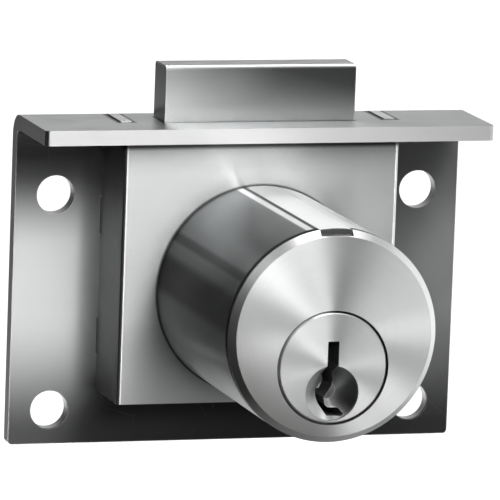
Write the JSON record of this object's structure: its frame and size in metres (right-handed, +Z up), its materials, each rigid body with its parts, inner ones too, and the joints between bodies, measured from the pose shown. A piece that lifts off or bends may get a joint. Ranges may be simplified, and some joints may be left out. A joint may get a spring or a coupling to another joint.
{
  "type": "drawer lock",
  "caption": "Half-mortise drawer lock: bent mounting plate with screw holes, box case, round pin cylinder and keyed plug that throws a dead bolt up through the top flange.",
  "frame": {"origin": "middle of the four screw holes, on the plate's front face, which is the mounting face against the drawer front", "axes": "+Z up, the way the bolt is thrown; -Y forwards, out of the keyway; +X to the right seen from the front"},
  "size_m": [0.0492, 0.0366, 0.0416],
  "materials": {
    "plate_steel": "satin nickel plate",
    "case_steel": "satin nickel plate, brushed up and down",
    "cylinder_nickel": "dull chrome plate, face brushed in circles, polished chamfer",
    "plug_nickel": "dull chrome plate, face brushed in circles",
    "bolt_metal": "satin nickel plate",
    "pin_brass": "turned brass",
    "spring_wire": "drawn wire",
    "cam_steel": "plain zinc plate",
    "screw_steel": "zinc plate"
  },
  "bodies": {
    "lock_body": {"mounting_plate": "plate_steel", "lock_case": "case_steel", "cylinder_shell": "cylinder_nickel", "cover_strip": "cylinder_nickel", "cylinder_screws": "screw_steel", "driver_pin_1": "pin_brass", "driver_pin_2": "pin_brass", "driver_pin_3": "pin_brass", "driver_pin_4": "pin_brass", "driver_pin_5": "pin_brass", "pin_spring_1": "spring_wire", "pin_spring_2": "spring_wire", "pin_spring_3": "spring_wire", "pin_spring_4": "spring_wire", "pin_spring_5": "spring_wire"},
    "key_plug": {"plug": "plug_nickel", "key_pin_1": "pin_brass", "key_pin_2": "pin_brass", "key_pin_3": "pin_brass", "key_pin_4": "pin_brass", "key_pin_5": "pin_brass", "drive_cam": "cam_steel", "cam_screws": "screw_steel"},
    "dead_bolt": {"bolt": "bolt_metal", "bolt_spring": "spring_wire"}
  },
  "joints": [
    {"name": "bolt_slide", "type": "slide", "parent": "lock_body", "child": "dead_bolt", "axis": [0, 0, 1], "range_m": [-0.006, 0]},
    {"name": "plug_turn", "type": "hinge", "parent": "lock_body", "child": "key_plug", "pos_m": [0, -0.0349, -0.00065], "axis": [0, 1, 0], "range_deg": [0, 180]}
  ],
  "couplings": [
    {"joint": "plug_turn", "follows": "bolt_slide", "rad_per_m": -523.59}
  ]
}
